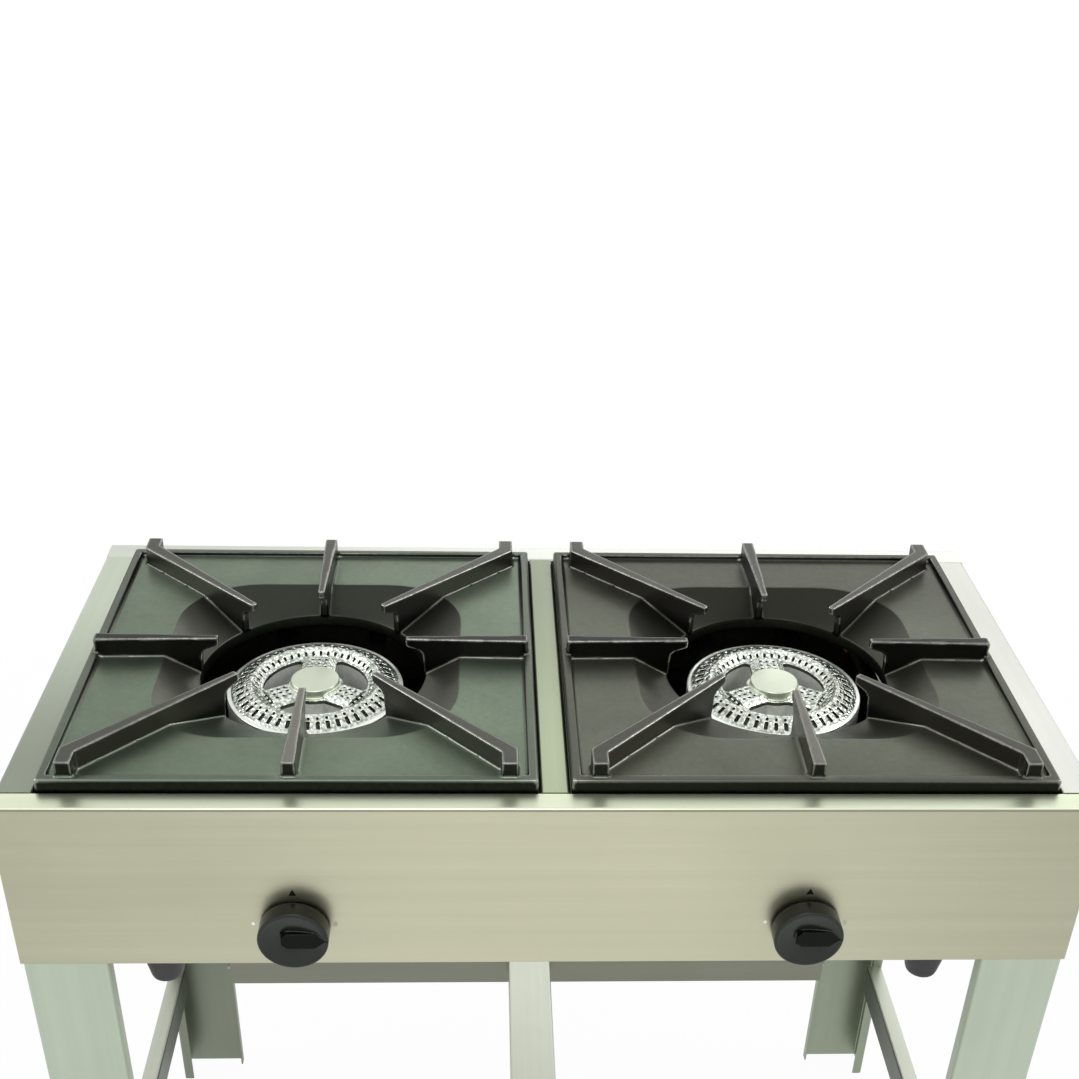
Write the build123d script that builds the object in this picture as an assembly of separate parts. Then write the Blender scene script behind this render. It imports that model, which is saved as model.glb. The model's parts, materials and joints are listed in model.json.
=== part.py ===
from build123d import *
from math import cos, hypot, pi, radians, sin
import os

# Two-burner stock pot range: a bent-sheet body on four legs, two lift-off cast grates, two round
# ported burners, and a gas train with two push-and-turn taps.
# Millimetres. +X right, +Y back, +Z up. Origin: centre of the whole outline, on the floor.

# ---- main sizes: the body's width and depth follow from the grates and the ledges round them ----
HEIGHT = 850.0            # floor to the top ledge
BODY_HEIGHT = 184.0       # top ledge to the body's lower edge
GRATE = 450.0             # square casting
GRATE_GAP = 1.5           # casting to the wall of its seat
FRONT_LEDGE = 25.5        # visible top strip in front of the grates
REAR_LEDGE = 31.5
SIDE_LEDGE = 33.5
CENTRE_WIDE = 27.0        # rail between the grates
KNOB_REACH = 26.0         # knob face in front of the front panel
INLET_REACH = 22.0        # gas thread behind the rear panel

# ---- sheet metal ---------------------------------------------------------------------------
SHEET = 1.5               # body panels and rails
BEND = 1.5                # inside radius of every sheet bend
SEAT_DROP = 6.0           # grate seat below the top ledge
SEAT_LIP = 12.0           # width of the seat lip
FOOT_FLANGE = 55.0        # return along the lower edge of the front and rear panels
SIDE_FLANGE = 25.0        # the same on the side panels
PAN_SHEET = 1.0
PAN_WALL = 15.0
PAN_GAP = 2.0             # pan wall to panel, clear of the bends
VENTS = 7                 # upright air slots in the middle of the rear panel
VENT_STEP = 22.0
VENT_LONG = 60.0
VENT_WIDE = 6.0

# ---- legs and low frame --------------------------------------------------------------------
LEG_WIDE = 80.0           # leg flange across the front
LEG_DEEP = 40.0           # leg flange along the side
LEG_LIP = 13.0
LEG_SHEET = 2.0
LEG_TOP_GAP = 12.0        # leg top below the ledge
LEG_CLEAR = 2.5           # flanges and pan stop this far from a leg
RAIL_TOP = 213.0          # upper face of the low frame above the floor
RAIL_WIDE = 20.0
RAIL_HIGH = 42.0
BEAM_WIDE = 58.0
BEAM_HIGH = 25.0
BOLT_R = 2.5
BOLT_HOLE_R = 2.8
BOLT_FLATS = 8.0
BOLT_HEAD = 3.5
BOLT_EDGE = 4.3           # bolt axis to the free edge of a leg lip
BOLT_PAST = 6.0           # thread beyond the clamped sheets
STUD_LOW = 40.0           # lower leg stud above the body's lower edge
STUD_HIGH = 45.0          # upper leg stud below the top ledge

# ---- body feet -----------------------------------------------------------------------------
FOOT_BESIDE = 46.5        # foot axis beside the leg
FOOT_IN = 30.0            # foot axis behind the panel face
FOOT_TOP_R = 22.0
FOOT_TIP_R = 15.0
FOOT_HIGH = 36.0
FOOT_BAND = 4.0           # straight band at the top
FOOT_SCREW_R = 6.0        # recess for its screw
FOOT_SCREW_DEEP = 12.0

# ---- grates --------------------------------------------------------------------------------
RIM_TOP = 12.0            # heights from here on are above the top ledge
PLATE_TOP = 7.0
PLATE_THICK = 6.0
RIM_WIDE = 9.0
RIM_EDGE = 1.5
RIB_TOP = 28.0
DISH_HALF = 150.0         # half width of the sunken field
DISH_CORNER = 80.0
HOLE_R = 115.0
HOLE_TOP = -13.0
COLLAR_LOW = -27.0
CAST_WALL = 6.0
RIB_TIP_R = 95.0          # where the rib noses end
NOSE_LONG = 17.0
NOSE_HIGH = 9.0
RIB_END_IN = 5.0          # rib ends to the edge of the casting
RIB_END_HALF = 6.6
DIAGONAL_END_HALF = 7.6
RIB_TIP_HALF = 3.6
RIB_TURN_IN = 26.0        # diagonal ribs turn square to the rim this far in
RIB_SUNK = 2.0            # rib foot below the plate's face
RIB_COUNT = 8

# ---- burners -------------------------------------------------------------------------------
HEAD_R = 91.0
HEAD_SEAT = -35.5         # underside of the head
HEAD_LIP = 3.0
HEAD_WALL = 4.0
RING_OUT_R = 86.5
RING_CREST_R = 67.5
RING_CREST = -23.5
RING_FLAT = 2.5           # width of the crest
RING_IN_R = 56.0
WEB_TOP = -31.0
WEB_THICK = 3.0
BOSS_R = 25.0
BOSS_TOP = -22.0
SPOKES = 3
SPOKE_WIDE = 36.0
SPOKE_RIDGE = 22.0        # width of the level top of a spoke
SPOKE_TOP = -26.5
WINDOW_IN_R = 29.0
WINDOW_OUT_R = 54.0
WINDOW_CORNER = 4.0
PORTS_PER_ROW = 48
OUTER_PORTS = ((78.0, 4.4, 1.9), (70.6, 1.4, 1.4))    # (radius, half length, half width) of each row
INNER_PORTS = ((59.8, 2.2, 1.3),)
SPOKE_PORTS = (31.5, 38.5, 45.5, 52.5)
SPOKE_PORT_STEP = 7.2
SPOKE_PORT_HALF = 1.5
SPIGOT_DEEP = 5.0
SPIGOT_WALL = 2.5
SPIGOT_FIT = 0.3
BASE_WALL = 3.5
BASE_FLOOR = -60.0
BASE_FLOOR_THICK = 4.0
BASE_BEVEL = 4.0
TUBE_Z = -86.0            # mixing tube axis
TUBE_R = 24.0
TUBE_IN_R = 19.0
TUBE_MOUTH = 152.0        # mouth in front of the burner's axis
MOUTH_R = 29.0
MOUTH_LONG = 22.0
NECK_R = 28.0
NECK_IN_R = 22.0
SUPPORT_X = 52.0          # burner supports beside the mixing tube
SUPPORT_WIDE = 20.0
SUPPORT_HIGH = 22.0

# ---- taps and gas pipes --------------------------------------------------------------------
KNOB_Z = -137.0           # knob axis below the top ledge
PUSH = 3.0                # how far a knob is pressed in
KNOB_GAP = 3.6            # knob skirt to the panel
KNOB_R = 31.5
KNOB_EDGE = 1.2
KNOB_RIM = 2.0            # level rim round the dished face
KNOB_DISH = 6.5           # depth of the dish
KNOB_DISH_FLOOR_R = 9.0
GRIP_HALF = 8.5           # half width of the grip bar in the dish
GRIP_BACK = 10.7          # its blunt end behind the axis, away from the pointer
GRIP_CORNER = 4.5
GRIP_TAPER = 19.0         # the bar narrows to its point from here
POINTER_R = 28.5
POINTER_HALF = 0.8
STEM_R = 4.0
STEM_FLAT = 2.8           # flat of the D section from the axis
STEM_FIT = 0.05
PANEL_HOLE_R = 6.0
SHOULDER_R = 5.6
BONNET_R = 11.0
BONNET_FROM = 5.0         # distances behind the front panel's face
COLLAR_R = 7.8
COLLAR_FIT = 0.1
COLLAR_LONG = 3.0
STEM_END = 24.0
VALVE_R = 17.0
VALVE_FROM = 20.0
VALVE_TO = 60.0
INLET_SPIGOT_R = 8.0
PIPE_Y = 92.0             # gas manifold axis behind the front panel's face
PIPE_R = 13.45
PIPE_BORE = 10.8
PIPE_PAST = 60.0          # left end of the manifold beyond the left tap
PIPE_BESIDE = 23.5        # its right run beside the legs
PIPE_BEND = 40.0
PIPE_FIT = 0.05
STRAP_X = 120.0           # two straps carry the manifold
STRAP_WIDE = 20.0
STRAP_SHEET = 2.5
BOSS_FACE = 72.0
PIPE_BOSS_R = 11.0
FEED_R = 4.0
FEED_Y = 36.0
FEED_BEND = 16.0
INJECTOR_FLATS = 17.0
INJECTOR_LONG = 12.0
NOZZLE_LONG = 6.0
INJECTOR_GAP = 6.0        # nozzle tip to the mouth of the mixing tube
THREAD_R = 10.48          # half-inch gas thread
THREAD_BORE = 7.5
SHANK_R = 12.0            # shank through the rear panel
COUPLING_FLATS = 34.0
COUPLING_LONG = 25.0
NUT_FLATS = 32.0
NUT_LONG = 7.0
NUT_FIT = 0.05
SHANK_CLEAR = 0.5         # shank to its hole in the rear panel
CAP_FLATS = 32.0
CAP_LONG = 16.0

# ---- places worked out from the sizes ------------------------------------------------------
OPENING = GRATE + 2 * GRATE_GAP
WIDTH = 2 * OPENING + 2 * SIDE_LEDGE + CENTRE_WIDE
DEPTH = OPENING + FRONT_LEDGE + REAR_LEDGE
SIDE = WIDTH / 2
FRONT = KNOB_REACH - (DEPTH + KNOB_REACH + INLET_REACH) / 2
REAR = FRONT + DEPTH
SEAT_FRONT = FRONT + FRONT_LEDGE
SEAT_REAR = REAR - REAR_LEDGE
BURNER_X = CENTRE_WIDE / 2 + OPENING / 2
BURNER_Y = (SEAT_FRONT + SEAT_REAR) / 2
LEG_TOP = HEIGHT - LEG_TOP_GAP
LEG_X = SIDE - SHEET
LEG_INNER = LEG_X - LEG_WIDE
PAN_TOP = HEIGHT - BODY_HEIGHT + SHEET + PAN_SHEET
PIPE_LEFT = -BURNER_X - PIPE_PAST
PIPE_RIGHT = LEG_INNER - PIPE_BESIDE
PIPE_Z = HEIGHT + KNOB_Z
COUPLING_FROM = REAR - SHEET - COUPLING_LONG
RIB_END_R = GRATE / 2 - RIB_END_IN
BASE_R = HEAD_R
SUPPORT_TOP = BASE_FLOOR - BASE_FLOOR_THICK
SIDES = {"left": -1, "right": 1}


def save(name, shape):
    """Write one node."""
    export_step(shape, f"parts/{name}.step")


def block(x, y, z):
    """Box between two limits on each axis."""
    size = [high - low for low, high in (x, y, z)]
    middle = [(low + high) / 2 for low, high in (x, y, z)]
    return Pos(*middle) * Box(*size)


def rod(r, start, end):
    """Round bar between two points."""
    start, end = Vector(*start), Vector(*end)
    along = end - start
    return extrude(Plane(start, z_dir=along) * Circle(r), along.length)


def hex_bar(flats, start, end):
    """Hexagonal bar between two points."""
    start, end = Vector(*start), Vector(*end)
    along = end - start
    return extrude(Plane(start, z_dir=along) * RegularPolygon(flats / 2, 6, major_radius=False), along.length)


def turned(outline, centre, axis_plane):
    """Solid of revolution of a closed (radius, height) outline about the plane's y direction."""
    face = make_face(Polyline(*outline, close=True))
    return Pos(*centre) * revolve(axis_plane * face, Axis((0, 0, 0), axis_plane.y_dir))


def upright(outline, centre):
    """Solid of revolution about a vertical axis."""
    return turned(outline, centre, Plane.XZ)


def along_y(outline, centre):
    """Solid of revolution about an axis that runs back; heights in the outline are Y."""
    return turned(outline, centre, Plane.XY)


def bent_section(path, thick):
    """Section of a bent sheet. The path is its show side, and the metal lies to the left of it."""
    path = [Vector(*point) for point in path]
    runs = [(b - a).normalized() for a, b in zip(path, path[1:])]
    lefts = [Vector(-run.Y, run.X) for run in runs]
    back = [path[0] + lefts[0] * thick]
    near, far = [], []
    for corner, one, two, run, following in zip(path[1:], lefts, lefts[1:], runs, runs[1:]):
        back.append(corner + (one + two) * (thick / (1 + one.dot(two))))
        turns_left = run.X * following.Y - run.Y * following.X > 0
        near.append(BEND + thick if turns_left else BEND)
        far.append(BEND if turns_left else BEND + thick)
    back.append(path[-1] + lefts[-1] * thick)
    show = FilletPolyline(*path, radius=near)
    hidden = FilletPolyline(*back, radius=far)
    ends = [Line(show @ 0, hidden @ 0), Line(show @ 1, hidden @ 1)]
    return make_face(show.edges() + hidden.edges() + ends)


def along(section, origin, inward, length):
    """Extrude a section whose x points inward from origin and whose y points up."""
    plane = Plane(origin, x_dir=inward, z_dir=Vector(*inward).cross(Vector(0, 0, 1)))
    return extrude(plane * section, length, dir=plane.z_dir)


# ---- body ----------------------------------------------------------------------------------
def panel_section(ledge, flange):
    """Seat lip, wall, ledge, face and lower flange; x runs inward from the face, y up from the ledge."""
    return bent_section([(ledge + SEAT_LIP, -SEAT_DROP), (ledge, -SEAT_DROP), (ledge, 0), (0, 0),
                         (0, -BODY_HEIGHT), (flange, -BODY_HEIGHT)], SHEET)


def long_panel(front):
    """Front or rear panel, with its lips and flange stopped short of its neighbours."""
    ledge = FRONT_LEDGE if front else REAR_LEDGE
    face = FRONT if front else REAR
    way = 1 if front else -1
    shape = along(panel_section(ledge, FOOT_FLANGE), (-way * SIDE, face, HEIGHT), (0, way, 0), WIDTH)
    wall = face + way * ledge
    low, high = sorted((wall, wall + way * (SEAT_LIP + 1)))
    lip_z = (HEIGHT - SEAT_DROP - SHEET - BEND, HEIGHT - SEAT_DROP + BEND)
    lip_from = SIDE - SIDE_LEDGE - SEAT_LIP
    shape -= block((lip_from, SIDE), (low, high), lip_z)
    shape -= block((-SIDE, -lip_from), (low, high), lip_z)
    half = CENTRE_WIDE / 2 + SEAT_LIP
    shape -= block((-half, half), (low, high), lip_z)
    under = (HEIGHT - SEAT_DROP - 2 * SHEET, HEIGHT - SHEET)
    low, high = sorted((face + way * SHEET, wall + way * BEND))
    flange_low, flange_high = sorted((face + way * SHEET, face + way * (FOOT_FLANGE + 1)))
    flange_z = (HEIGHT - BODY_HEIGHT, HEIGHT - BODY_HEIGHT + SHEET + BEND)
    flange_to = LEG_INNER - LEG_CLEAR
    for sign in SIDES.values():
        shape -= block(sorted((sign * LEG_X, sign * SIDE)), (low, high), under)
        shape -= block(sorted((sign * flange_to, sign * SIDE)), (flange_low, flange_high), flange_z)
    return shape


def front_panel():
    """Long panel with a hole for each tap's stem."""
    shape = long_panel(True)
    for sign in SIDES.values():
        x = sign * BURNER_X
        shape -= rod(PANEL_HOLE_R, (x, FRONT - 1, PIPE_Z), (x, FRONT + SHEET + 1, PIPE_Z))
    return shape


def rear_panel():
    """Long panel with a hole for the gas inlet and air slots in its middle."""
    shape = long_panel(False)
    inside, outside = (PIPE_RIGHT, REAR - 2 * SHEET, PIPE_Z), (PIPE_RIGHT, REAR + 1, PIPE_Z)
    shape -= rod(SHANK_R + SHANK_CLEAR, inside, outside)
    face = Plane((0, REAR + 1, 0), x_dir=(1, 0, 0), z_dir=(0, -1, 0))
    vent = extrude(face * SlotOverall(VENT_LONG, VENT_WIDE, rotation=90), SHEET + 2)
    for step in range(VENTS):
        x = (step - (VENTS - 1) / 2) * VENT_STEP
        shape -= Pos(x, 0, HEIGHT - BODY_HEIGHT / 2) * vent
    return shape


def side_panel(sign):
    """Side panel between the front and rear panels, notched under their ledges."""
    start = FRONT + SHEET if sign > 0 else REAR - SHEET
    inward = (-sign, 0, 0)
    shape = along(panel_section(SIDE_LEDGE, SIDE_FLANGE), (sign * SIDE, start, HEIGHT), inward,
                  DEPTH - 2 * SHEET)
    inner = SIDE - SIDE_LEDGE - SEAT_LIP - 1
    all_x = sorted((sign * inner, sign * (SIDE + 1)))
    past_face = sorted((sign * inner, sign * (SIDE - SHEET)))
    top = (HEIGHT - SHEET, HEIGHT + 1)
    below = (HEIGHT - SEAT_DROP - 2 * SHEET, HEIGHT)
    low_z = (HEIGHT - BODY_HEIGHT, HEIGHT - BODY_HEIGHT + SHEET + BEND)
    for ledge_y in ((FRONT, SEAT_FRONT), (SEAT_REAR, REAR)):
        shape -= block(all_x, ledge_y, top)
        shape -= block(past_face, ledge_y, below)
    leg = SHEET + LEG_DEEP + LEG_CLEAR
    for leg_y in ((FRONT, FRONT + leg), (REAR - leg, REAR)):
        shape -= block(past_face, leg_y, low_z)
    return shape


def centre_rail():
    """Hat section between the grates, with a seat lip on each side."""
    half = CENTRE_WIDE / 2
    section = bent_section([(half + SEAT_LIP, -SEAT_DROP), (half, -SEAT_DROP), (half, 0), (-half, 0),
                            (-half, -SEAT_DROP), (-half - SEAT_LIP, -SEAT_DROP)], SHEET)
    return along(section, (0, SEAT_REAR, HEIGHT), (1, 0, 0), SEAT_REAR - SEAT_FRONT)


def pan_outline(inset):
    """Floor outline with a notch for each leg."""
    x = LEG_X - PAN_GAP - inset
    low = FRONT + SHEET + PAN_GAP + inset
    high = REAR - SHEET - PAN_GAP - inset
    notch_x = LEG_INNER - LEG_CLEAR - inset
    notch_low = FRONT + SHEET + LEG_DEEP + LEG_CLEAR + inset
    notch_high = REAR - SHEET - LEG_DEEP - LEG_CLEAR - inset
    corner = [(notch_x, low), (notch_x, notch_low), (x, notch_low), (x, notch_high), (notch_x, notch_high),
              (notch_x, high)]
    return make_face(Polyline(*corner, *[(-px, py) for px, py in reversed(corner)], close=True))


def bottom_pan():
    """Tray that closes the body from below and lies on the lower flanges."""
    tray = extrude(Pos(0, 0, PAN_TOP - PAN_SHEET) * pan_outline(0), PAN_WALL, dir=(0, 0, 1))
    return tray - extrude(Pos(0, 0, PAN_TOP) * pan_outline(PAN_SHEET), PAN_WALL, dir=(0, 0, 1))


def body_feet():
    """Four tapered feet screwed to the lower flanges, each with a recess for its screw."""
    top = HEIGHT - BODY_HEIGHT
    outline = [(0, 0), (FOOT_TOP_R, 0), (FOOT_TOP_R, -FOOT_BAND), (FOOT_TIP_R + 1, 3 - FOOT_HIGH),
               (FOOT_TIP_R, -FOOT_HIGH), (FOOT_SCREW_R, -FOOT_HIGH),
               (FOOT_SCREW_R, FOOT_SCREW_DEEP - FOOT_HIGH), (0, FOOT_SCREW_DEEP - FOOT_HIGH)]
    foot_x = LEG_INNER - FOOT_BESIDE
    places = [(sign * foot_x, y) for sign in SIDES.values() for y in (FRONT + FOOT_IN, REAR - FOOT_IN)]
    return Compound([upright(outline, (x, y, top)) for x, y in places])


# ---- legs and low frame --------------------------------------------------------------------
def channel(x, ends, top, wide, high):
    """Channel open at the bottom that runs back between two ends, closed by a tab at each."""
    half = wide / 2
    section = bent_section([(half, -high), (half, 0), (-half, 0), (-half, -high)], SHEET)
    shape = along(section, (x, ends[1], top), (1, 0, 0), ends[1] - ends[0])
    inner = (x - half + SHEET, x + half - SHEET)
    for y in (ends[0], ends[1] - SHEET):
        shape += block(inner, (y, y + SHEET), (top - high, top - SHEET))
    return shape


def bolt(head, way, grip):
    """Hex bolt with its nut. The head stands on the point head, and the shank runs along way."""
    head, way = Vector(*head), Vector(*way)
    end = head + way * grip
    shape = hex_bar(BOLT_FLATS, head - way * BOLT_HEAD, head)
    shape += rod(BOLT_R, head - way, end + way * BOLT_PAST)
    return shape + hex_bar(BOLT_FLATS, end, end + way * BOLT_HEAD)


def rail_joints():
    """Bolts of the low frame: (head place, direction) on the leg lips, four legs, two rails each."""
    z = RAIL_TOP - RAIL_HIGH / 2
    tab = LEG_LIP - BOLT_EDGE
    places = []
    for sign in SIDES.values():
        for y, way in ((FRONT + SHEET, 1), (REAR - SHEET, -1)):
            places.append(((sign * (LEG_X - tab), y + way * (LEG_DEEP - LEG_SHEET), z), (0, way, 0)))
            places.append(((sign * (LEG_INNER + LEG_SHEET), y + way * tab, z), (-sign, 0, 0)))
    return places


def leg_studs():
    """Studs on the side panels that hold the legs, two for each leg: (base on the panel, inward way)."""
    places = []
    for sign in SIDES.values():
        for y in (FRONT + SHEET + LEG_DEEP / 2, REAR - SHEET - LEG_DEEP / 2):
            for z in (HEIGHT - BODY_HEIGHT + STUD_LOW, HEIGHT - STUD_HIGH):
                places.append(((sign * LEG_X, y, z), (-sign, 0, 0)))
    return places


def leg(sign, way, y):
    """Leg with a return lip on both flanges; way points from its outer face into the range."""
    path = [(LEG_LIP, LEG_DEEP), (0, LEG_DEEP), (0, 0), (LEG_WIDE, 0), (LEG_WIDE, LEG_LIP)]
    shape = extrude(bent_section(path, LEG_SHEET), LEG_TOP, dir=(0, 0, 1))
    shape = shape if sign < 0 else mirror(shape, Plane.YZ)
    shape = shape if way > 0 else mirror(shape, Plane.XZ)
    shape = Pos(sign * LEG_X, y, 0) * shape
    for place, inward in leg_studs() + rail_joints():
        place, inward = Vector(*place), Vector(*inward)
        shape -= rod(BOLT_HOLE_R, place - inward, place + inward * (LEG_SHEET + 1))
    return shape


def rail(origin, inward, length):
    """Angle rail of the low frame with a bolted tab at each end."""
    section = bent_section([(RAIL_WIDE, -RAIL_HIGH), (RAIL_WIDE, 0), (0, 0)], SHEET)
    shape = along(section, origin, inward, length)
    tab = make_face(Polyline((BEND, -RAIL_HIGH), (RAIL_WIDE - SHEET, -RAIL_HIGH), (RAIL_WIDE - SHEET, -SHEET),
                             (BEND, -SHEET), close=True))
    shape += along(tab, origin, inward, SHEET)
    way = Vector(*inward).cross(Vector(0, 0, 1))
    far = Vector(*origin) + way * (length - SHEET)
    shape += along(tab, far, inward, SHEET)
    for place, direction in rail_joints():
        place, direction = Vector(*place), Vector(*direction)
        shape -= rod(BOLT_HOLE_R, place, place + direction * (LEG_SHEET + SHEET + 1))
    return shape


def beam_bolts():
    """Bolts that hold the centre beam to the front and rear rails: (head place, way)."""
    z = RAIL_TOP - BEAM_HIGH / 2 - SHEET
    inset = SHEET + LEG_SHEET + RAIL_WIDE
    return [((x, y, z), (0, way, 0)) for x in (-BEAM_WIDE / 4, BEAM_WIDE / 4)
            for y, way in ((FRONT + inset - SHEET, 1), (REAR - inset + SHEET, -1))]


def low_frame():
    """Four rails between the legs and the beam between the front and rear rails."""
    outer = SHEET + LEG_SHEET
    side_long = DEPTH - 2 * (SHEET + LEG_DEEP)
    side_y = SHEET + LEG_DEEP
    rails = {
        "left_rail": rail((-SIDE + outer, REAR - side_y, RAIL_TOP), (1, 0, 0), side_long),
        "right_rail": rail((SIDE - outer, FRONT + side_y, RAIL_TOP), (-1, 0, 0), side_long),
        "front_rail": rail((-LEG_INNER, FRONT + outer, RAIL_TOP), (0, 1, 0), 2 * LEG_INNER),
        "rear_rail": rail((LEG_INNER, REAR - outer, RAIL_TOP), (0, -1, 0), 2 * LEG_INNER),
    }
    inset = outer + RAIL_WIDE
    beam = channel(0, (FRONT + inset, REAR - inset), RAIL_TOP, BEAM_WIDE, BEAM_HIGH)
    for place, way in beam_bolts():
        cutter = rod(BOLT_HOLE_R, Vector(*place) - Vector(*way), Vector(*place) + Vector(*way) * 4)
        beam -= cutter
        rails["front_rail"] -= cutter
        rails["rear_rail"] -= cutter
    rails["centre_beam"] = beam
    return rails


def leg_nuts():
    """Welded studs with their nuts, one solid each."""
    group = []
    for base, inward in leg_studs():
        base, inward = Vector(*base), Vector(*inward)
        nut = base + inward * LEG_SHEET
        stud = rod(BOLT_R, base, nut + inward * BOLT_PAST)
        group.append(stud + hex_bar(BOLT_FLATS, nut, nut + inward * BOLT_HEAD))
    return Compound(group)


# ---- grates --------------------------------------------------------------------------------
def dish_wire(half, corner, r, z):
    """Eight matching pieces: a rounded square when r is None, else a circle of radius r."""
    straight = half - corner
    bow = straight + corner * cos(pi / 4)
    points = []
    for turn in range(4):
        c, s = round(cos(turn * pi / 2)), round(sin(turn * pi / 2))
        for x, y in ((half, -straight), (half, 0), (half, straight), (bow, bow)):
            points.append((x * c - y * s, x * s + y * c))
    if r is not None:
        points = [(x * r / hypot(x, y), y * r / hypot(x, y)) for x, y in points]
    points = [(x, y, z) for x, y in points]
    edges = []
    for at in range(0, 16, 2):
        start, middle, end = points[at], points[at + 1], points[(at + 2) % 16]
        straight_run = r is None and at % 4 == 0
        edges.append(Line(start, end) if straight_run else ThreePointArc(start, middle, end))
    return Wire(edges)


def dish(half, top, r, low):
    """Solid that runs from a rounded square down to a circle."""
    rims = [dish_wire(half, DISH_CORNER, None, top), dish_wire(half, DISH_CORNER, r, low)]
    return Solid.make_loft(rims, True)


def rib_side(kink):
    """Side view of a rib: level top, overhanging nose, and a foot buried in the dished plate."""
    foot_r = RIB_TIP_R + NOSE_LONG
    nose = RIB_TOP - NOSE_HIGH
    return Polyline((RIB_TIP_R, RIB_TOP), (RIB_TIP_R, nose), (foot_r - 3, nose - 5), (foot_r, nose - 9),
                    (foot_r + 1.5, HOLE_TOP + 1), (HOLE_R + 2, HOLE_TOP - RIB_SUNK),
                    (kink, PLATE_TOP - RIB_SUNK), (2 * RIB_END_R, PLATE_TOP - RIB_SUNK),
                    (2 * RIB_END_R, RIB_TOP), close=True)


def rib(diagonal):
    """One rib along +X; a diagonal one is drawn along +X+Y and turns parallel to Y at its end."""
    if diagonal:
        step = sin(radians(45))
        end, tip, turn = DIAGONAL_END_HALF, RIB_TIP_HALF * step, GRATE / 2 - RIB_TURN_IN
        near = RIB_TIP_R * step
        bend = end * (hypot(1, 1) - 1)
        plan = Polyline((near - tip, near + tip), (near + tip, near - tip), (turn + end, turn - bend),
                        (turn + end, RIB_END_R), (turn - end, RIB_END_R), (turn - end, turn + bend),
                        close=True)
        kink = (DISH_HALF - DISH_CORNER) / step + DISH_CORNER
        angle = 45
    else:
        plan = Polyline((RIB_TIP_R, -RIB_TIP_HALF), (RIB_END_R, -RIB_END_HALF), (RIB_END_R, RIB_END_HALF),
                        (RIB_TIP_R, RIB_TIP_HALF), close=True)
        kink = DISH_HALF
        angle = 0
    upright_plan = extrude(Pos(0, 0, COLLAR_LOW) * make_face(plan), RIB_TOP - COLLAR_LOW, dir=(0, 0, 1))
    sheet = extrude(Plane.XZ * make_face(rib_side(kink)), GRATE / 2, both=True)
    return upright_plan & (Rot(0, 0, angle) * sheet)


def grate():
    """Cast grate about its own centre: raised rim, flat field, dish, collar and eight ribs."""
    low = PLATE_TOP - PLATE_THICK
    half = GRATE / 2
    rim = block((-half, half), (-half, half), (-SEAT_DROP, RIM_TOP))
    rim = chamfer(rim.faces().sort_by(Axis.Z)[-1].edges(), RIM_EDGE)
    inside = half - RIM_WIDE
    rim -= block((-inside, inside), (-inside, inside), (-SEAT_DROP - 1, RIM_TOP + 1))
    shape = rim + block((-inside, inside), (-inside, inside), (low, PLATE_TOP))
    shape += dish(DISH_HALF + CAST_WALL, PLATE_TOP, HOLE_R + CAST_WALL, HOLE_TOP - CAST_WALL)
    shape += rod(HOLE_R + CAST_WALL, (0, 0, COLLAR_LOW), (0, 0, HOLE_TOP - CAST_WALL + 1))
    shape -= dish(DISH_HALF, PLATE_TOP, HOLE_R, HOLE_TOP)
    shape -= rod(HOLE_R, (0, 0, COLLAR_LOW - 1), (0, 0, PLATE_TOP))
    straight, slanted = rib(False), rib(True)
    for turn in range(RIB_COUNT // 2):
        shape += Rot(0, 0, 90 * turn) * straight
    for about_x in (False, True):
        one = mirror(slanted, Plane.XZ) if about_x else slanted
        shape += one
        shape += mirror(one, Plane.YZ)
    return shape


# ---- burners -------------------------------------------------------------------------------
def windows():
    """Openings between the ring and the boss, one between each two spokes, with rounded corners."""
    field = Circle(WINDOW_OUT_R) - Circle(WINDOW_IN_R)
    for spoke in range(SPOKES):
        arm = Pos(WINDOW_OUT_R / 2, 0) * Rectangle(WINDOW_OUT_R * 1.1, SPOKE_WIDE)
        field -= Rot(0, 0, 90 + 360 / SPOKES * spoke) * arm
    return fillet(field.vertices(), WINDOW_CORNER)


def port(plane, half_long, half_wide):
    """Cutter of a port square to a plane, longer along the plane's y."""
    return extrude(plane * Rectangle(2 * half_wide, 2 * half_long), HEAD_WALL * 2, both=True)


def ports():
    """Ports through the ring, square to its two slopes, and through the spokes."""
    slopes = (
        (OUTER_PORTS, RING_CREST_R, RING_OUT_R, HEAD_SEAT + HEAD_LIP),
        (INNER_PORTS, RING_CREST_R - RING_FLAT, RING_IN_R, WEB_TOP),
    )
    tools = []
    for rows, high_r, low_r, low in slopes:
        fall = (RING_CREST - low) / (low_r - high_r)
        for r, half_long, half_wide in rows:
            z = RING_CREST - fall * (r - high_r)
            cutter = port(Plane((r, 0, z), x_dir=(0, 1, 0), z_dir=(fall, 0, 1)), half_long, half_wide)
            tools += [Rot(0, 0, 360 / PORTS_PER_ROW * step) * cutter for step in range(PORTS_PER_ROW)]
    for r in SPOKE_PORTS:
        for x in (-SPOKE_PORT_STEP, 0, SPOKE_PORT_STEP):
            cutter = port(Plane((x, r, (SPOKE_TOP + WEB_TOP) / 2)), SPOKE_PORT_HALF, SPOKE_PORT_HALF)
            tools += [Rot(0, 0, 360 / SPOKES * spoke) * cutter for spoke in range(SPOKES)]
    return tools


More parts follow.
